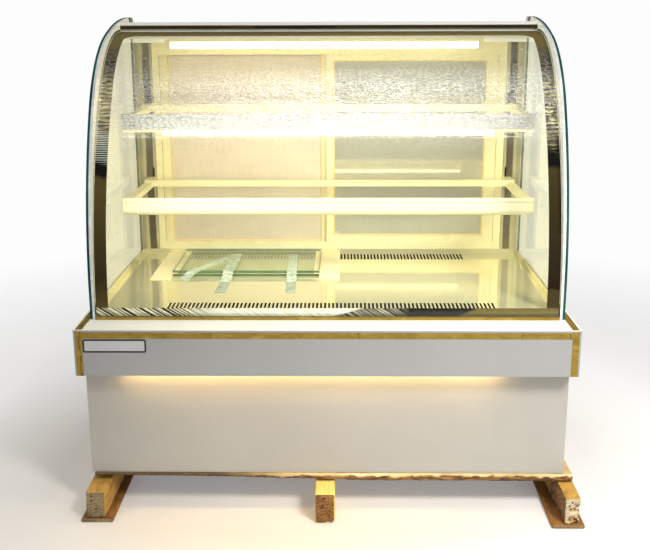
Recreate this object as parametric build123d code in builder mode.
from build123d import *
import os
from math import cos, radians, sin

os.makedirs("parts", exist_ok=True)

# Curved-glass refrigerated display showcase, standing on the timber skid it is delivered on.
# Millimetres. +X is to the right seen from the customer's side, +Y runs from the customer's side
# to the staff's side, +Z is up. The origin is on the floor, under the middle of the footprint.

# ---- driving dimensions -------------------------------------------------------------------
CASE_W = 1200.0
CASE_D = 730.0
FRONT = -CASE_D / 2
BACK = CASE_D / 2
SIDE = CASE_W / 2
SHEET = 1.2                 # sheet metal
TRIM_T = 0.8                # gold trim strips

SKID_X = 626.0              # half length of the skid's footprint
SKID_Y = 416.0              # half depth of the skid's footprint
SOLE_T = 9.0
RUNNER_TOP = 77.0
BASE_Z = 98.5               # underside of the case, on the planks

FASCIA_Z = 371.0            # lower edge of the fascia
TUB_Z = 373.0
FRAME_Z = 482.0             # underside of the white frame that carries the glass
LEDGE_Z = 485.0             # top of that frame
DECK_Z = 507.0              # top of the slotted deck
COVER_Z = 1187.0            # top of the top cover

BASE_X = 588.0              # half width of the lower cabinet
BASE_Y = -314.0             # front of the lower cabinet
GRILLE_Y = 352.0            # rear face of the machine grille

SIDE_GLASS_IN = 566.0       # inner face of the side glass
SIDE_GLASS_T = 12.0
GLASS_T = 6.0
GLASS_HALF = 565.0          # half width of the bent front glass
GLASS_FOOT = (-278.0, 487.0)
GLASS_END = 178.5           # rear edge of the bent glass, under the top bar

DOOR_Y = 331.0              # front of the rear door surround
HEAD_TOP = 1130.0
OPENING = (-494.5, 490.5)   # left and right sides of the door opening
DOOR_T = 11.0
DOOR_RAIL = 25.0            # height of a door frame's upper and lower members
DOOR_LAP = 8.0              # how far each door runs past the middle
POST_IN = 513.0             # inner face of the shelf posts

SLOT_COUNT = 82
SLOT_PITCH = 9.9
SLOT_W = 5.0

CONTROL_X = 415.0           # middle of the control plate, on the staff's side
CONTROL_Z = 430.0
CONTROL_Y = 364.2           # rear face of the fascia, where the plate sits


# ---- helpers ------------------------------------------------------------------------------
def save(piece, name):
    """Label a finished piece and write it."""
    piece.part.label = name
    export_step(piece.part, f"parts/{name}.step")


def facing(y):
    """Upright plane at Y = y, drawn in (X, Z); it extrudes towards the customer."""
    return Plane.XZ.offset(-y)


def block(x, y, z, mode=Mode.ADD):
    """Straight block between the low and high values in x, y and z."""
    with Locations(((x[0] + x[1]) / 2, (y[0] + y[1]) / 2, (z[0] + z[1]) / 2)):
        Box(x[1] - x[0], y[1] - y[0], z[1] - z[0], mode=mode)


def blocks(*ranges):
    """A piece made of straight blocks."""
    with BuildPart() as piece:
        for x, y, z in ranges:
            block(x, y, z)
    return piece


# ---- timber skid --------------------------------------------------------------------------
RUNNER_LEFT = (-590.0, -541.0)
RUNNER_MIDDLE = (-29.0, 21.0)
PLANK_FRONT = (-322.0, -227.0)
PLANK_REAR = (235.0, 330.0)
BOLT_X = 450.0
BOLT_R = 4.0
BOLT_HOLE_R = 4.3
WANE_DEPTH = 34.0
BOLT_YS = (sum(PLANK_FRONT) / 2, sum(PLANK_REAR) / 2)   # along the middle of each plank
BOLT_PLACES = [(x, y) for x in (-BOLT_X, BOLT_X) for y in BOLT_YS]

save(blocks(((-603, -524), (-393, SKID_Y), (0, SOLE_T))), "skid_sole_left")
save(blocks(((545, SKID_X), (-SKID_Y, SKID_Y), (0, SOLE_T))), "skid_sole_right")
save(blocks((RUNNER_LEFT, (-388, SKID_Y), (SOLE_T, RUNNER_TOP))), "skid_runner_left")

with BuildPart() as skid_runner_middle:
    block(RUNNER_MIDDLE, (-393, SKID_Y), (0, RUNNER_TOP))
    long_edges = skid_runner_middle.edges().filter_by(Axis.Y)
    chamfer(long_edges.group_by(Axis.Z)[0].sort_by(Axis.X)[-1], length=7)
save(skid_runner_middle, "skid_runner_middle")

# the right runner was sawn slightly out of square
with BuildPart() as skid_runner_right:
    with BuildSketch(Plane.XY.offset(SOLE_T)):
        with BuildLine():
            Polyline((573, -410), (613, -410), (613, SKID_Y), (562, SKID_Y), close=True)
        make_face()
    extrude(amount=RUNNER_TOP - SOLE_T)
save(skid_runner_right, "skid_runner_right")

# the front plank keeps the round of the log along its lower front edge
with BuildPart() as skid_plank_front:
    block((-584, 612), PLANK_FRONT, (RUNNER_TOP, BASE_Z))
    with BuildSketch(facing(PLANK_FRONT[0] + WANE_DEPTH)):
        with BuildLine():
            wane = Spline((-590, 90), (-400, 89), (-180, 85), (60, 79), (170, 76))
            Polyline(wane @ 1, (170, 70), (-590, 70), wane @ 0)
        make_face()
    extrude(amount=WANE_DEPTH + 6, mode=Mode.SUBTRACT)
    with Locations(*[(x, BOLT_YS[0], RUNNER_TOP) for x in (-BOLT_X, BOLT_X)]):
        Cylinder(BOLT_HOLE_R, 60, mode=Mode.SUBTRACT)
save(skid_plank_front, "skid_plank_front")

with BuildPart() as skid_plank_rear:
    block((-SKID_X, 612), PLANK_REAR, (RUNNER_TOP, BASE_Z))
    with Locations(*[(x, BOLT_YS[1], RUNNER_TOP) for x in (-BOLT_X, BOLT_X)]):
        Cylinder(BOLT_HOLE_R, 60, mode=Mode.SUBTRACT)
save(skid_plank_rear, "skid_plank_rear")

# carriage bolts up through the planks, with nuts inside the case
with BuildPart() as skid_bolts:
    with BuildSketch(Plane.XY.offset(RUNNER_TOP)):
        with Locations(*BOLT_PLACES):
            Circle(9)
    extrude(amount=-3.5)
    with BuildSketch(Plane.XY.offset(RUNNER_TOP)):
        with Locations(*BOLT_PLACES):
            Circle(BOLT_R)
    extrude(amount=33)
    with BuildSketch(Plane.XY.offset(BASE_Z + SHEET)):
        with Locations(*BOLT_PLACES):
            RegularPolygon(7.5, 6)
    extrude(amount=6.5)
save(skid_bolts, "skid_bolts")

# ---- lower cabinet ------------------------------------------------------------------------
TRAY_X = BASE_X - SHEET
TRAY_Y = (BASE_Y + SHEET, GRILLE_Y - SHEET)
FEET_X = 480.0
FEET_Y = 180.0
FEET_HOLE_R = 5.25

with BuildPart() as base_tray:
    block((-TRAY_X, TRAY_X), TRAY_Y, (BASE_Z, BASE_Z + 26))
    inside_y = (TRAY_Y[0] + SHEET, TRAY_Y[1] - SHEET)
    inside_x = (-TRAY_X + SHEET, TRAY_X - SHEET)
    block(inside_x, inside_y, (BASE_Z + SHEET, BASE_Z + 30), mode=Mode.SUBTRACT)
    with Locations((0, 0, BASE_Z)):
        with GridLocations(2 * FEET_X, 2 * FEET_Y, 2, 2):
            Cylinder(FEET_HOLE_R, 10, mode=Mode.SUBTRACT)
    with Locations(*[(x, y, BASE_Z) for x, y in BOLT_PLACES]):
        Cylinder(BOLT_HOLE_R, 10, mode=Mode.SUBTRACT)
save(base_tray, "base_tray")

# the front sheet has a hem along its foot
base_front_panel = blocks(
    ((-BASE_X, BASE_X), (BASE_Y, BASE_Y + SHEET), (BASE_Z, TUB_Z)),
    ((-BASE_X, BASE_X), (BASE_Y - 1, BASE_Y), (BASE_Z, BASE_Z + 3.5)),
)
save(base_front_panel, "base_front_panel")

for side, name in ((-1, "left"), (1, "right")):
    x = sorted((side * TRAY_X, side * BASE_X))
    save(blocks((x, TRAY_Y, (BASE_Z, TUB_Z))), f"base_side_panel_{name}")

GRILLE_SCREWS = [(x, z) for x in (-565, 0, 565) for z in (BASE_Z + 40, FASCIA_Z - 18)]
SCREW_R = 2.0
SCREW_HOLE_R = 2.2
INLET = (-470.0, 160.0)
INLET_HOLE = (27.6, 20.2)
LOUVRE = (130.0, 8.0)
LOUVRE_FIELDS = (((110, 245), 5, 11), ((-330, 265), 1, 8))     # middle, columns and rows
with BuildPart() as rear_grille:
    block((-BASE_X, BASE_X), (GRILLE_Y - SHEET, GRILLE_Y), (BASE_Z, FASCIA_Z - 0.5))
    with BuildSketch(facing(GRILLE_Y)):
        for middle, columns, rows in LOUVRE_FIELDS:
            with Locations(middle):
                with GridLocations(150, 15, columns, rows):
                    SlotOverall(*LOUVRE)
        with Locations(INLET):
            Rectangle(*INLET_HOLE)
        with Locations(*GRILLE_SCREWS):
            Circle(SCREW_HOLE_R)
    extrude(amount=5, both=True, mode=Mode.SUBTRACT)
save(rear_grille, "rear_grille")

with BuildPart() as grille_screws:
    with BuildSketch(facing(GRILLE_Y)):
        with Locations(*GRILLE_SCREWS):
            Circle(4)
    extrude(amount=-2.4)
    fillet(grille_screws.edges().group_by(Axis.Y)[-1], radius=1.2)
    with BuildSketch(facing(GRILLE_Y)):
        with Locations(*GRILLE_SCREWS):
            Circle(SCREW_R)
    extrude(amount=SHEET)
save(grille_screws, "grille_screws")

# appliance inlet: flange outside the grille, socket with three pins
with BuildPart() as power_inlet:
    inlet_x, inlet_z = INLET
    block((inlet_x - 25, inlet_x + 25), (GRILLE_Y, GRILLE_Y + 2), (inlet_z - 14, inlet_z + 14))
    body = (INLET_HOLE[0] / 2 - 0.2, INLET_HOLE[1] / 2 - 0.2)
    body_x = (inlet_x - body[0], inlet_x + body[0])
    block(body_x, (GRILLE_Y - 22, GRILLE_Y), (inlet_z - body[1], inlet_z + body[1]))
    block(
        (inlet_x - 12, inlet_x + 12),
        (GRILLE_Y - 16, GRILLE_Y + 3),
        (inlet_z - 8.3, inlet_z + 8.3),
        mode=Mode.SUBTRACT,
    )
    for pin_x, pin_z in ((-7, -1.5), (0, 2.5), (7, -1.5)):
        with Locations((inlet_x + pin_x, GRILLE_Y - 10, inlet_z + pin_z)):
            Box(2, 14, 4)
save(power_inlet, "power_inlet")

# ---- machine compartment ------------------------------------------------------------------
FLOOR_Z = BASE_Z + SHEET
COMPRESSOR = (-290.0, 150.0)
COMPRESSOR_R = 80.0
COMPRESSOR_H = 165.0
BASEPLATE_Z = (FLOOR_Z + 14, FLOOR_Z + 17)      # on four rubber feet

with BuildPart() as compressor:
    with BuildSketch(Plane.XY.offset(FLOOR_Z)):
        with Locations(COMPRESSOR):
            with GridLocations(150, 110, 2, 2):
                Circle(11)
    extrude(amount=BASEPLATE_Z[0] - FLOOR_Z)
    with BuildSketch(Plane.XY.offset(BASEPLATE_Z[0])):
        with Locations(COMPRESSOR):
            RectangleRounded(190, 150, 18)
    extrude(amount=BASEPLATE_Z[1] - BASEPLATE_Z[0])
    with BuildSketch(Plane.XY.offset(BASEPLATE_Z[1])):
        with Locations(COMPRESSOR):
            Circle(COMPRESSOR_R)
    extrude(amount=COMPRESSOR_H)
    fillet(compressor.edges().group_by(Axis.Z)[-1], radius=45)
    with BuildSketch(Plane.YZ.offset(COMPRESSOR[0])):
        with Locations((COMPRESSOR[1], 240)):
            Circle(8)
    extrude(amount=COMPRESSOR_R + 15)
    with BuildSketch(facing(COMPRESSOR[1])):
        with Locations((COMPRESSOR[0], 200)):
            Circle(8)
    extrude(amount=-(COMPRESSOR_R + 15))
save(compressor, "compressor")


def finned_coil(x, y, z, fins, tubes):
    """Heat exchanger: thin fins across straight tubes, between two end plates."""
    with BuildPart() as coil:
        middle_y = (y[0] + y[1]) / 2
        middle_z = (z[0] + z[1]) / 2
        with Locations(((x[0] + x[1]) / 2, middle_y, middle_z)):
            with GridLocations((x[1] - x[0] - 2) / (fins - 1), 1, fins, 1):
                Box(2, y[1] - y[0], z[1] - z[0])
        with BuildSketch(Plane.YZ.offset(x[0] + 1)):
            with Locations((middle_y, middle_z)):
                with GridLocations((y[1] - y[0]) / 2, (z[1] - z[0]) / tubes, 2, tubes):
                    Circle(4.5)
        extrude(amount=x[1] - x[0] - 2)
    return coil


def fan_blade(centre, radius, hub_r, chord, count, bore_r):
    """Axial impeller turning about an axis along Y."""
    depth = chord * sin(radians(35)) + 4
    with BuildPart() as blade:
        with Locations(Plane(origin=centre, x_dir=(1, 0, 0), z_dir=(0, -1, 0))):
            with PolarLocations((radius + hub_r) / 2, count):
                Box(radius - hub_r + 6, chord, 1.6, rotation=(35, 0, 0))
            Cylinder(radius, depth * 2, mode=Mode.INTERSECT)
            Cylinder(hub_r, depth)
            Cylinder(bore_r, depth * 2, mode=Mode.SUBTRACT)
    return blade


def fan_frame(plate_x, plate_z, centres, axis_y, hole_r, depth, motor_r, shaft_r):
    """Plate with a round mouth for each impeller and its motor on a cross bar behind."""
    bar_y = axis_y - depth / 2 - 6
    with BuildPart() as frame:
        with BuildSketch(facing(axis_y + 1)):
            with Locations(((plate_x[0] + plate_x[1]) / 2, (plate_z[0] + plate_z[1]) / 2)):
                Rectangle(plate_x[1] - plate_x[0], plate_z[1] - plate_z[0])
            with Locations(*centres):
                Circle(hole_r, mode=Mode.SUBTRACT)
        extrude(amount=2)
        for cx, cz in centres:
            reach = hole_r + 8
            block((cx - reach, cx + reach), (bar_y - 3, bar_y), (cz - 5, cz + 5))
            for post_x in (cx - reach + 3, cx + reach - 3):
                block((post_x - 3, post_x + 3), (bar_y - 3, axis_y), (cz - 5, cz + 5))
            with BuildSketch(facing(bar_y)):
                with Locations((cx, cz)):
                    Circle(motor_r)
            extrude(amount=motor_r * 1.4)
            with BuildSketch(facing(bar_y)):
                with Locations((cx, cz)):
                    Circle(shaft_r)
            extrude(amount=-(6 + depth - 3))
    return frame


CONDENSER_X = (150.0, 450.0)
CONDENSER_FAN = (300.0, 262.0, 225.0)
CONDENSER_R = 98.0
CONDENSER_DEPTH = 40 * sin(radians(35)) + 4
SHAFT_R = 3.0
SHAFT_GAP = 0.05

save(finned_coil(CONDENSER_X, (292.0, 336.0), (112.0, 340.0), 26, 7), "condenser_coil")
condenser_fan_frame = fan_frame(
    CONDENSER_X, (FLOOR_Z, 340.0), [(300.0, 225.0)], CONDENSER_FAN[1],
    CONDENSER_R + 5, CONDENSER_DEPTH, 30.0, SHAFT_R,
)
save(condenser_fan_frame, "condenser_fan_frame")
condenser_fan = fan_blade(CONDENSER_FAN, CONDENSER_R, 22, 40, 5, SHAFT_R + SHAFT_GAP)
save(condenser_fan, "condenser_fan")

with BuildPart() as condensate_tray:
    block((-150, 90), (60, 250), (FLOOR_Z, FLOOR_Z + 34))
    block((-148, 88), (62, 248), (FLOOR_Z + 2, FLOOR_Z + 40), mode=Mode.SUBTRACT)
save(condensate_tray, "condensate_tray")

# ---- insulated tub, with the evaporator under the deck --------------------------------------
TUB_X = 592.0
TUB_Y = 357.0
WELL_X = 550.0
WELL_Y = (-266.0, 300.0)
WELL_Z = 403.0
PIPE_WELL = (-298.0, 158.0)
POCKET_X = (CONTROL_X - 90, CONTROL_X + 90)

with BuildPart() as insulated_tub:
    block((-TUB_X, TUB_X), (-TUB_Y, TUB_Y), (TUB_Z, FRAME_Z))
    block((-WELL_X, WELL_X), WELL_Y, (WELL_Z, FRAME_Z + 5), mode=Mode.SUBTRACT)
    block(POCKET_X, (318, TUB_Y + 5), (CONTROL_Z - 36, CONTROL_Z + 36), mode=Mode.SUBTRACT)
    with Locations((PIPE_WELL[0], PIPE_WELL[1], TUB_Z)):
        Cylinder(22, 80, mode=Mode.SUBTRACT)
save(insulated_tub, "insulated_tub")

EVAPORATOR_X = (-240.0, 240.0)
save(finned_coil(EVAPORATOR_X, (90.0, 190.0), (WELL_Z, 467.0), 41, 3), "evaporator_coil")

FAN_PLACES = [(-220.0, 443.0), (220.0, 443.0)]
EVAPORATOR_FAN_Y = -40.0
EVAPORATOR_R = 32.0
EVAPORATOR_DEPTH = 16 * sin(radians(35)) + 4
evaporator_fan_frame = fan_frame(
    (-WELL_X, WELL_X), (WELL_Z, FRAME_Z), FAN_PLACES, EVAPORATOR_FAN_Y,
    EVAPORATOR_R + 3, EVAPORATOR_DEPTH, 14.0, SHAFT_R,
)
save(evaporator_fan_frame, "evaporator_fan_frame")
for (fan_x, fan_z), name in zip(FAN_PLACES, ("left", "right")):
    place = (fan_x, EVAPORATOR_FAN_Y, fan_z)
    save(fan_blade(place, EVAPORATOR_R, 10, 16, 5, SHAFT_R + SHAFT_GAP), f"evaporator_fan_{name}")

# suction, discharge and liquid lines, each bent from straight runs
PIPE_RUNS = [
    (6.0, [(-195, 150, 240), (-165, 150, 240), (-165, 150, 338), (-290, 166, 338),
           (-290, 166, 440), (-240, 166, 440)]),
    (4.0, [(-290, 245, 200), (-290, 314, 200), (150, 314, 200)]),
    (3.0, [(150, 314, 130), (120, 314, 130), (120, 40, 130), (120, 40, 350), (-308, 40, 350),
           (-308, 150, 350), (-308, 150, 423), (-240, 150, 423)]),
]
with BuildPart() as refrigerant_pipes:
    for pipe_r, corners in PIPE_RUNS:
        with BuildLine():
            run = FilletPolyline(*corners, radius=14)
        with BuildSketch(Plane(origin=run @ 0, z_dir=run % 0)):
            Circle(pipe_r)
        sweep(path=run)
save(refrigerant_pipes, "refrigerant_pipes")

# ---- fascia, white frame and gold trim ------------------------------------------------------
FASCIA_X = SIDE - TRIM_T
FASCIA_Y = BACK - TRIM_T
GOLD = (579.0, 595.0)       # the gold strips run between these distances from the middle
GOLD_BAND_Z = (464.5, 479.5)
RETURN_X = BASE_X + 1.5
RETURN_Y = BASE_Y - 1.5

with BuildPart() as fascia_panel:
    block((-FASCIA_X, FASCIA_X), (-FASCIA_Y, FASCIA_Y), (FASCIA_Z, FRAME_Z))
    inner_x = FASCIA_X - SHEET
    inner_y = FASCIA_Y - SHEET
    inner_z = (FASCIA_Z + SHEET, FRAME_Z + 5)
    block((-inner_x, inner_x), (-inner_y, inner_y), inner_z, mode=Mode.SUBTRACT)
    # the lower edge turns in towards the cabinet
    block(
        (-RETURN_X, RETURN_X), (RETURN_Y, GRILLE_Y + 1.5), (FASCIA_Z - 5, FASCIA_Z + 5), mode=Mode.SUBTRACT
    )
    cut_z = (CONTROL_Z - 32, CONTROL_Z + 32)
    block((CONTROL_X - 85, CONTROL_X + 85), (BACK - 5, BACK + 5), cut_z, mode=Mode.SUBTRACT)
save(fascia_panel, "fascia_panel")

with BuildPart() as top_frame:
    block((-SIDE, SIDE), (FRONT, BACK), (FRAME_Z, LEDGE_Z))
    opening_y = (WELL_Y[0] + 8, WELL_Y[1])
    block((-WELL_X, WELL_X), opening_y, (FRAME_Z - 5, LEDGE_Z + 5), mode=Mode.SUBTRACT)
save(top_frame, "top_frame")

# gold strips: corners and upper edge of the fascia, and along the frame beside the glass
with BuildPart() as gold_trim:
    block((-GOLD[0] + 0.3, GOLD[0] - 0.3), (FRONT, -FASCIA_Y), GOLD_BAND_Z)
    for side in (-1, 1):
        across = sorted((side * GOLD[0], side * GOLD[1]))
        outside = sorted((side * FASCIA_X, side * SIDE))
        block(across, (FRONT, -FASCIA_Y), (FASCIA_Z, FRAME_Z))
        block(across, (FRONT + 5, BACK - 5), (LEDGE_Z, LEDGE_Z + TRIM_T))
        block(outside, (FRONT + 5, BACK - 5), GOLD_BAND_Z)
save(gold_trim, "gold_trim")

save(blocks(((-493, 421), (-346, -334), (FASCIA_Z - 6, FASCIA_Z))), "base_led_strip")

# ---- slotted deck ---------------------------------------------------------------------------
DECK_X = 563.0
DECK_Y = (-266.0, DOOR_Y)
DECK_SEAM = 246.0
DECK_T = 1.5
UPSTAND = 16.0
FRONT_SLOTS = (10.0, -231.0, 52.0)      # middle of the row in X and in Y, and length of a slot
REAR_SLOTS = (-8.0, 293.0, 70.0)

with BuildPart() as deck_panels:
    block((-DECK_X, DECK_X), DECK_Y, (DECK_Z - DECK_T, DECK_Z))
    # turned down at the front, turned up at the sides and against the door sill
    block((-DECK_X, DECK_X), (DECK_Y[0], DECK_Y[0] + DECK_T), (LEDGE_Z, DECK_Z))
    block((-DECK_X, DECK_X), (DECK_Y[1] - DECK_T, DECK_Y[1]), (LEDGE_Z, DECK_Z + UPSTAND))
    for side in (-1, 1):
        wall = sorted((side * (DECK_X - DECK_T), side * DECK_X))
        block(wall, DECK_Y, (LEDGE_Z, DECK_Z + UPSTAND))
    for middle_x, middle_y, length in (FRONT_SLOTS, REAR_SLOTS):
        with BuildSketch(Plane.XY.offset(DECK_Z)):
            with Locations((middle_x, middle_y)):
                with GridLocations(SLOT_PITCH, 1, SLOT_COUNT, 1):
                    Rectangle(SLOT_W, length)
        extrude(amount=-DECK_T * 2, mode=Mode.SUBTRACT)
    seam_z = (LEDGE_Z - 5, DECK_Z + UPSTAND + 5)
    block((-SIDE, SIDE), (DECK_SEAM - 0.4, DECK_SEAM + 0.4), seam_z, mode=Mode.SUBTRACT)
save(deck_panels, "deck_panels")

# ---- glass ----------------------------------------------------------------------------------
SIDE_FOOT = (-276.6, LEDGE_Z)
SIDE_RISE = 68.6
SIDE_ARCS = [(912.0, 28.9), (337.3, 42.8), (970.0, 18.3)]   # radius and turn, lowest first
SIDE_CORNER_R = 25.0

for side, name in ((-1, "left"), (1, "right")):
    glass_x = min(side * SIDE_GLASS_IN, side * (SIDE_GLASS_IN + SIDE_GLASS_T))
    with BuildPart() as side_glass:
        with BuildSketch(Plane.YZ.offset(glass_x)):
            with BuildLine():
                edge = Line(SIDE_FOOT, (SIDE_FOOT[0], SIDE_FOOT[1] + SIDE_RISE))
                for arc_r, turn in SIDE_ARCS:
                    edge = JernArc(edge @ 1, edge % 1, arc_r, -turn)
                top_z = (edge @ 1).Y
                flat = Line(edge @ 1, (BACK - SIDE_CORNER_R, top_z))
                corner = JernArc(flat @ 1, (1, 0), SIDE_CORNER_R, -90)
                Polyline(corner @ 1, (BACK, LEDGE_Z), SIDE_FOOT)
            make_face()
        extrude(amount=SIDE_GLASS_T)
    save(side_glass, f"side_glass_{name}")

GLASS_RISE = 12.6
GLASS_ARCS = [(873.2, 38.6), (329.2, 51.4)]


def front_curve(inset, foot_z):
    """Draw the bent glass's curve, moved inwards by inset, and give its two ends."""
    foot = (GLASS_FOOT[0] + inset, foot_z)
    rise_z = GLASS_FOOT[1] + GLASS_RISE
    edge = Line(foot, (foot[0], rise_z))
    for arc_r, turn in GLASS_ARCS:
        edge = JernArc(edge @ 1, edge % 1, arc_r - inset, -turn)
    last = Line(edge @ 1, (GLASS_END, (edge @ 1).Y))
    return foot, last @ 1


def bent_sheet(inset, thickness, foot_z, half_width):
    """A sheet bent to the front glass's curve."""
    with BuildPart() as sheet:
        with BuildSketch(Plane.YZ.offset(-half_width)):
            with BuildLine():
                outer_foot, outer_end = front_curve(inset, foot_z)
                inner_foot, inner_end = front_curve(inset + thickness, foot_z)
                Line(outer_foot, inner_foot)
                Line(outer_end, inner_end)
            make_face()
        extrude(amount=2 * half_width)
    return sheet


save(bent_sheet(0, GLASS_T, GLASS_FOOT[1], GLASS_HALF), "front_glass")

# mirror border on the inside of the bent glass, open in the middle
BORDER_T = 0.5
BORDER_FOOT = 492.5
WINDOW_X = 534.0
WINDOW_Z = 513.0
WINDOW_END = 90.0
border_sheet = bent_sheet(GLASS_T, BORDER_T, BORDER_FOOT, GLASS_HALF - 1)
with BuildPart() as front_glass_border:
    add(border_sheet.part)
    with BuildSketch(Plane.XY.offset(WINDOW_Z)):
        with Locations((0, (WINDOW_END - 500) / 2)):
            RectangleRounded(2 * WINDOW_X, WINDOW_END + 500, 30)
    extrude(amount=COVER_Z - WINDOW_Z, mode=Mode.SUBTRACT)
save(front_glass_border, "front_glass_border")

CHANNEL_LEG = 2.5
with BuildPart() as front_glass_channel:
    channel_y = (GLASS_FOOT[0] - CHANNEL_LEG, GLASS_FOOT[0] + GLASS_T + CHANNEL_LEG)
    block((-GLASS_HALF, GLASS_HALF), channel_y, (LEDGE_Z, LEDGE_Z + 7))
    groove_y = (GLASS_FOOT[0], GLASS_FOOT[0] + GLASS_T)
    block((-SIDE, SIDE), groove_y, (GLASS_FOOT[1], LEDGE_Z + 20), mode=Mode.SUBTRACT)
save(front_glass_channel, "front_glass_channel")

# ---- top cover and lamp -----------------------------------------------------------------------
COVER_FRONT = GLASS_END + 0.5
COVER_LIP = 175.0
BAR_Z = (1168.8, 1179.0)
COVER_FLOOR = 1144.0
COVER_T = 3.0
COVER_HALF = 565.0

save(blocks(((-COVER_HALF, COVER_HALF), (COVER_LIP, COVER_FRONT), BAR_Z)), "top_bar")

with BuildPart() as top_cover:
    with BuildSketch(Plane.YZ.offset(-COVER_HALF)):
        with BuildLine():
            Polyline(
                (COVER_FRONT, COVER_FLOOR), (COVER_FRONT, BAR_Z[1]), (COVER_LIP, BAR_Z[1]),
                (COVER_LIP, COVER_Z), (BACK, COVER_Z), (BACK, HEAD_TOP), (DOOR_Y, HEAD_TOP),
                (DOOR_Y, COVER_FLOOR), close=True,
            )
        make_face()
        with BuildLine():
            Polyline(
                (COVER_FRONT + COVER_T, COVER_FLOOR + COVER_T),
                (COVER_FRONT + COVER_T, COVER_Z - COVER_T),
                (BACK - COVER_T, COVER_Z - COVER_T),
                (BACK - COVER_T, HEAD_TOP + COVER_T),
                (DOOR_Y + COVER_T, HEAD_TOP + COVER_T),
                (DOOR_Y + COVER_T, COVER_FLOOR + COVER_T),
                close=True,
            )
        make_face(mode=Mode.SUBTRACT)
    extrude(amount=2 * COVER_HALF)
save(top_cover, "top_cover")

LAMP_X = (-438.0, 412.0)
LAMP_Y = 225.0
LAMP_Z = 1125.0
LAMP_R = 9.0
CAP = 14.0
lamp_housing = blocks(
    ((LAMP_X[0] - CAP, LAMP_X[1] + CAP), (LAMP_Y - 13, LAMP_Y + 13), (LAMP_Z + LAMP_R + 0.6, COVER_FLOOR)),
    ((LAMP_X[0] - CAP, LAMP_X[0]), (LAMP_Y - 10, LAMP_Y + 10), (LAMP_Z - LAMP_R - 1, COVER_FLOOR)),
    ((LAMP_X[1], LAMP_X[1] + CAP), (LAMP_Y - 10, LAMP_Y + 10), (LAMP_Z - LAMP_R - 1, COVER_FLOOR)),
)
save(lamp_housing, "lamp_housing")

with BuildPart() as lamp_tube:
    with BuildSketch(Plane.YZ.offset(LAMP_X[0])):
        with Locations((LAMP_Y, LAMP_Z)):
            Circle(LAMP_R)
    extrude(amount=LAMP_X[1] - LAMP_X[0])
save(lamp_tube, "lamp_tube")

# ---- rear door surround and sliding doors ------------------------------------------------------
# The inner lane, on the customer's side, sits higher than the outer one.
LANE_WALLS = (DOOR_Y + 3, 345.8, 348.4, 360.2)      # inner lane, middle rib, outer lane
SURROUND_BACK = 364.0
INNER_Z = (538.0, 1105.0)
OUTER_Z = (518.0, 1125.0)
RIB_Z = (544.0, 1096.0)
BACK_LIP_Z = (524.0, 1118.0)
LANE_GAP = 0.5

in0, in1, out0, out1 = LANE_WALLS


def track(base_z, rib_z, inner_z, outer_z, lip_z):
    """Corners of a track's section, from its flat side, with a lane for each door."""
    return [
        (DOOR_Y, base_z), (SURROUND_BACK, base_z), (SURROUND_BACK, lip_z), (out1, lip_z), (out1, outer_z),
        (out0, outer_z), (out0, rib_z), (in1, rib_z), (in1, inner_z), (in0, inner_z), (in0, rib_z),
        (DOOR_Y, rib_z),
    ]


with BuildPart() as door_surround:
    for base_z, end in ((LEDGE_Z, 0), (HEAD_TOP, 1)):
        corners = track(base_z, RIB_Z[end], INNER_Z[end], OUTER_Z[end], BACK_LIP_Z[end])
        with BuildSketch(Plane.YZ.offset(OPENING[0])):
            with BuildLine():
                Polyline(*corners, close=True)
            make_face()
        extrude(amount=OPENING[1] - OPENING[0])
    for jamb in ((1 - POST_IN, OPENING[0]), (OPENING[1], POST_IN - 1)):
        block(jamb, (DOOR_Y, SURROUND_BACK), (LEDGE_Z, HEAD_TOP))
save(door_surround, "door_surround")

PANE_T = 5.0
PANE_GRIP = 8.0
PULL_DEPTH = 2.5


def sliding_door(x, y, z, stiles, pull_x, name):
    """Door frame with a pane in its groove and a finger pull sunk in its rear face."""
    middle_y = (y[0] + y[1]) / 2
    daylight_x = (x[0] + stiles[0], x[1] - stiles[1])
    daylight_z = (z[0] + DOOR_RAIL, z[1] - DOOR_RAIL)
    pane_x = (daylight_x[0] - PANE_GRIP, daylight_x[1] + PANE_GRIP)
    pane_z = (daylight_z[0] - PANE_GRIP, daylight_z[1] + PANE_GRIP)
    pane_y = (middle_y - PANE_T / 2, middle_y + PANE_T / 2)
    with BuildPart() as frame:
        block(x, y, z)
        block(daylight_x, (y[0] - 5, y[1] + 5), daylight_z, mode=Mode.SUBTRACT)
        block(pane_x, pane_y, pane_z, mode=Mode.SUBTRACT)
        with BuildSketch(facing(y[1])):
            with Locations((pull_x, (z[0] + z[1]) / 2)):
                SlotOverall(110, 14, rotation=90)
        extrude(amount=PULL_DEPTH, mode=Mode.SUBTRACT)
    save(frame, f"{name}_frame")
    save(blocks((pane_x, pane_y, pane_z)), f"{name}_glass")


inner_y = ((in0 + in1 - DOOR_T) / 2, (in0 + in1 + DOOR_T) / 2)
outer_y = ((out0 + out1 - DOOR_T) / 2, (out0 + out1 + DOOR_T) / 2)
inner_z = (INNER_Z[0] + LANE_GAP, INNER_Z[1] - LANE_GAP)
outer_z = (OUTER_Z[0] + LANE_GAP, OUTER_Z[1] - LANE_GAP)
LEFT_STILES = (23.5, 30.0)      # left and right upright of the left door
RIGHT_STILES = (21.0, 33.0)
left_x = (OPENING[0] + LANE_GAP, DOOR_LAP)
right_x = (-DOOR_LAP, OPENING[1] - LANE_GAP)
sliding_door(left_x, outer_y, outer_z, LEFT_STILES, left_x[0] + LEFT_STILES[0] / 2, "door_left")
sliding_door(right_x, inner_y, inner_z, RIGHT_STILES, right_x[1] - RIGHT_STILES[1] / 2, "door_right")

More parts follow.
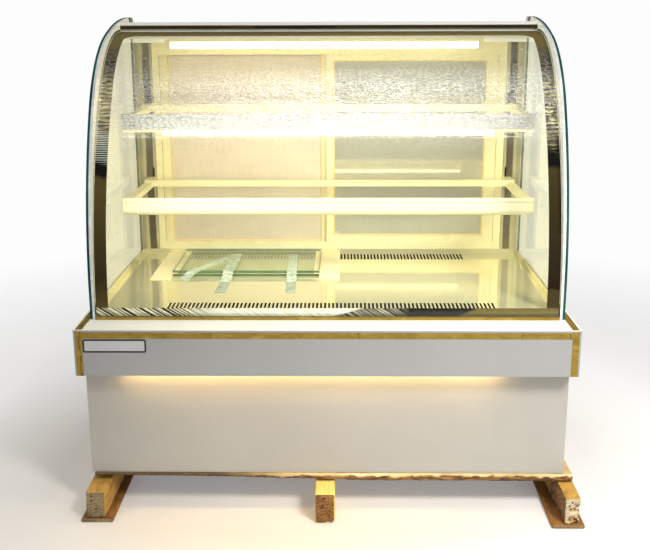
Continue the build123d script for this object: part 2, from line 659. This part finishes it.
# hollow posts beside the doors, slotted for the shelf hooks, with a wing to the side glass
POST_OUT = 552.0
POST_WALL = 2.0
SHELF_TOPS = (742.0, 958.0)
HOOK_X = 521.0
HOOK_SLOT_W = 6.0
with BuildPart() as shelf_posts:
    for side in (-1, 1):
        with BuildSketch(Plane.XY.offset(LEDGE_Z)):
            wing = SIDE_GLASS_IN - 1
            with BuildLine():
                Polyline(
                    (side * POST_IN, DOOR_Y), (side * POST_OUT, DOOR_Y), (side * POST_OUT, 350),
                    (side * wing, 350), (side * wing, SURROUND_BACK), (side * POST_IN, SURROUND_BACK),
                    close=True,
                )
            make_face()
            with Locations((side * (POST_IN + POST_OUT) / 2, (DOOR_Y + SURROUND_BACK) / 2)):
                hollow = (POST_OUT - POST_IN - 2 * POST_WALL, SURROUND_BACK - DOOR_Y - 2 * POST_WALL)
                Rectangle(*hollow, mode=Mode.SUBTRACT)
        extrude(amount=HEAD_TOP - LEDGE_Z)
        for top in SHELF_TOPS:
            slot_x = (side * HOOK_X - HOOK_SLOT_W / 2, side * HOOK_X + HOOK_SLOT_W / 2)
            slot_y = (DOOR_Y - 1, DOOR_Y + POST_WALL + 1)
            block(slot_x, slot_y, (top - 18, top + 28), mode=Mode.SUBTRACT)
save(shelf_posts, "shelf_posts")

# ---- shelf frames: front light rail, two arms hooked in the posts, rear rail ---------------------
ARM_X = (514.0, 536.0)
ARM_H = 22.0
REAR_RAIL_H = 18.0
FRONT_RAIL = (26.0, 42.0)       # depth and height of the front rail's body
RAIL_DROP = 6.0                 # from the top of the upstand down to the rail's body
LIP = (3.0, 10.0)               # thickness and height of the upstand along the front
REAR_RAIL_Y = (262.0, 282.0)
SHELVES = (("lower", -30.0, SHELF_TOPS[0], 538.0), ("upper", -15.0, SHELF_TOPS[1], 533.0))
LED_X = 430.0

for name, front, top, half_width in SHELVES:
    body_z = (top - RAIL_DROP - FRONT_RAIL[1], top - RAIL_DROP)
    with BuildPart() as shelf_frame:
        with BuildSketch(Plane.YZ.offset(-half_width)):
            with Locations((front + FRONT_RAIL[0] / 2, sum(body_z) / 2)):
                rail = Rectangle(*FRONT_RAIL)
            near = rail.vertices().sort_by(Axis.X)[:2]
            fillet(near.sort_by(Axis.Y)[0], radius=16)
        extrude(amount=2 * half_width)
        block((-half_width, half_width), (front - LIP[0], front), (top - LIP[1], top))
        block((-ARM_X[0], ARM_X[0]), REAR_RAIL_Y, (top - REAR_RAIL_H, top))
        for side in (-1, 1):
            arm = sorted((side * ARM_X[0], side * min(ARM_X[1], half_width)))
            block(arm, (front + FRONT_RAIL[0], DOOR_Y), (top - ARM_H, top - RAIL_DROP))
            block(arm, (REAR_RAIL_Y[0], DOOR_Y), (top - ARM_H, top))
            hook_x = (side * HOOK_X - 2.4, side * HOOK_X + 2.4)
            block(hook_x, (DOOR_Y - 4, DOOR_Y + POST_WALL + 2), (top - 17, top - 1))
    save(shelf_frame, f"{name}_shelf_frame")

# the lower light strip sits behind its rail, the upper one hangs under its rail
LOWER_FRONT, UPPER_FRONT = SHELVES[0][1], SHELVES[1][1]
behind_y = (LOWER_FRONT + FRONT_RAIL[0], LOWER_FRONT + FRONT_RAIL[0] + 5)
under_top = SHELF_TOPS[1] - RAIL_DROP - FRONT_RAIL[1]
save(blocks(((-LED_X, LED_X), behind_y, (SHELF_TOPS[0] - 44, SHELF_TOPS[0] - 32))), "lower_shelf_led")
save(
    blocks(((-LED_X, LED_X), (UPPER_FRONT + 3, UPPER_FRONT + 23), (under_top - 7, under_top))),
    "upper_shelf_led",
)

# ---- shelf glasses packed flat on the deck for the journey ----------------------------------------
PLATE_T = 6.0
PLATE_PITCH = 9.0
PLATE_X = (-430.0, -26.0)
PLATE_Y = (62.0, 326.0)
CARD_T = 3.0
STACK_FOOT = DECK_Z + 0.3
PLATES = [(STACK_FOOT + i * PLATE_PITCH, STACK_FOOT + i * PLATE_PITCH + PLATE_T) for i in range(2)]

save(blocks(*[(PLATE_X, PLATE_Y, z) for z in PLATES]), "loose_shelf_plates")

# card strips on the deck against both ends of the stack, and a narrow one between the two glasses
between_z = (PLATES[0][1], PLATES[1][0])
packing_cards = blocks(
    ((-486, PLATE_X[0] - 1), (21, 329), (DECK_Z, DECK_Z + CARD_T)),
    ((PLATE_X[1] + 1, 31), (26, 329), (DECK_Z, DECK_Z + CARD_T)),
    ((PLATE_X[0], PLATE_X[0] + 14), PLATE_Y, between_z),
    ((PLATE_X[1] - 14, PLATE_X[1]), PLATE_Y, between_z),
)
save(packing_cards, "packing_cards")

# three strips of packing tape from the deck up over the stack, the last one lying across the first
TAPE_T = 0.3
STACK_TOP = PLATES[-1][1]
TAPES = (
    # start and end on the plan, width, and how far along it leaves the deck and meets the top
    ((-280, -114), (-270, 263), 29.0, 112, 172, 0),
    ((-97, -112), (-105, 254), 27.0, 112, 170, 0),
    ((-396, 8), (-277, 237), 31.0, 2, 50, TAPE_T + 0.05),
)
with BuildPart() as tape_strips:
    for start, end, width, lift, land, over in TAPES:
        run = Vector(end[0] - start[0], end[1] - start[1])
        along = Plane(origin=(*start, 0), x_dir=run.normalized(), z_dir=(run.Y, -run.X, 0))
        top = STACK_TOP + over
        with BuildSketch(along):
            with BuildLine():
                Polyline(
                    (0, DECK_Z), (lift, DECK_Z), (land, top), (run.length, top),
                    (run.length, top + TAPE_T), (land, top + TAPE_T), (lift, DECK_Z + TAPE_T),
                    (0, DECK_Z + TAPE_T), close=True,
                )
            make_face()
        extrude(amount=width / 2, both=True)
save(tape_strips, "tape_strips")

# ---- controls on the staff's side --------------------------------------------------------------------
PLATE_BACK = CONTROL_Y + 2.0
DISPLAY_X = CONTROL_X - 38.0
SWITCHES = (("lamp_switch_rocker", CONTROL_X + 32.0), ("power_switch_rocker", CONTROL_X + 64.0))
SWITCH_HOLE = (13.6, 23.0)
BUTTON_R = 4.3
BUTTONS = (("controller_button_up", 4.0), ("controller_button_down", -8.0))
BUTTON_X = DISPLAY_X + 26.0
BUTTON_GAP = 0.2

with BuildPart() as control_plate:
    with BuildSketch(facing(PLATE_BACK)):
        with Locations((CONTROL_X, CONTROL_Z)):
            RectangleRounded(190, 84, 5)
        with Locations((DISPLAY_X, CONTROL_Z)):
            Rectangle(71.4, 29.4, mode=Mode.SUBTRACT)
        for name, switch_x in SWITCHES:
            with Locations((switch_x, CONTROL_Z)):
                Rectangle(*SWITCH_HOLE, mode=Mode.SUBTRACT)
    extrude(amount=PLATE_BACK - CONTROL_Y)
save(control_plate, "control_plate")

BEZEL_BACK = PLATE_BACK + 3.0
with BuildPart() as temperature_controller:
    with BuildSketch(facing(BEZEL_BACK)):
        with Locations((DISPLAY_X, CONTROL_Z)):
            RectangleRounded(77, 35, 3)
    extrude(amount=3.0)
    body_x = (DISPLAY_X - 35.5, DISPLAY_X + 35.5)
    block(body_x, (324, PLATE_BACK), (CONTROL_Z - 14.5, CONTROL_Z + 14.5))
    with BuildSketch(facing(BEZEL_BACK)):
        with Locations((DISPLAY_X - 9, CONTROL_Z)):
            RectangleRounded(44, 20, 1.5)
    extrude(amount=0.8, mode=Mode.SUBTRACT)
    with BuildSketch(facing(BEZEL_BACK)):
        for name, rise in BUTTONS:
            with Locations((BUTTON_X, CONTROL_Z + rise + 2)):
                Circle(BUTTON_R + BUTTON_GAP)
    extrude(amount=6.0, mode=Mode.SUBTRACT)
save(temperature_controller, "temperature_controller")

for name, rise in BUTTONS:
    with BuildPart() as button:
        with BuildSketch(facing(BEZEL_BACK + 1.2)):
            with Locations((BUTTON_X, CONTROL_Z + rise + 2)):
                Circle(BUTTON_R)
        extrude(amount=6.0)
        fillet(button.edges().group_by(Axis.Y)[-1], radius=0.8)
    save(button, name)

PIVOT_Y = PLATE_BACK - 5.0
ROCKER_TILT = 8.0
ROCKER_HALF = 5.2
PIVOT_R = 1.2
with BuildPart() as switch_housings:
    for name, switch_x in SWITCHES:
        bezel_x = (switch_x - 8.5, switch_x + 8.5)
        block(bezel_x, (PLATE_BACK, PLATE_BACK + 1.6), (CONTROL_Z - 13.5, CONTROL_Z + 13.5))
        body_x = (switch_x - 6.7, switch_x + 6.7)
        block(body_x, (PLATE_BACK - 22, PLATE_BACK), (CONTROL_Z - 11.4, CONTROL_Z + 11.4))
        mouth_x = (switch_x - ROCKER_HALF - 0.3, switch_x + ROCKER_HALF + 0.3)
        mouth_y = (PLATE_BACK - 14, PLATE_BACK + 5)
        block(mouth_x, mouth_y, (CONTROL_Z - 9.6, CONTROL_Z + 9.6), mode=Mode.SUBTRACT)
        with BuildSketch(Plane.YZ.offset(switch_x - 6.2)):
            with Locations((PIVOT_Y, CONTROL_Z)):
                Circle(PIVOT_R + SHAFT_GAP)
        extrude(amount=12.4, mode=Mode.SUBTRACT)
save(switch_housings, "switch_housings")

for name, switch_x in SWITCHES:
    tilt = radians(ROCKER_TILT)
    lean = (0, cos(tilt), sin(tilt))
    with BuildPart() as rocker:
        start = (switch_x - ROCKER_HALF, PIVOT_Y, CONTROL_Z)
        with BuildSketch(Plane(origin=start, x_dir=lean, z_dir=(1, 0, 0))):
            with BuildLine():
                hollow = ThreePointArc((7.6, -8), (6.6, 0), (7.6, 8))
                Polyline(hollow @ 1, (0, 8), (-4, 3), (-4, -3), (0, -8), hollow @ 0)
            make_face()
        extrude(amount=2 * ROCKER_HALF)
        with BuildSketch(Plane.YZ.offset(switch_x - 6.1)):
            with Locations((PIVOT_Y, CONTROL_Z)):
                Circle(PIVOT_R)
        extrude(amount=12.2)
    save(rocker, name)
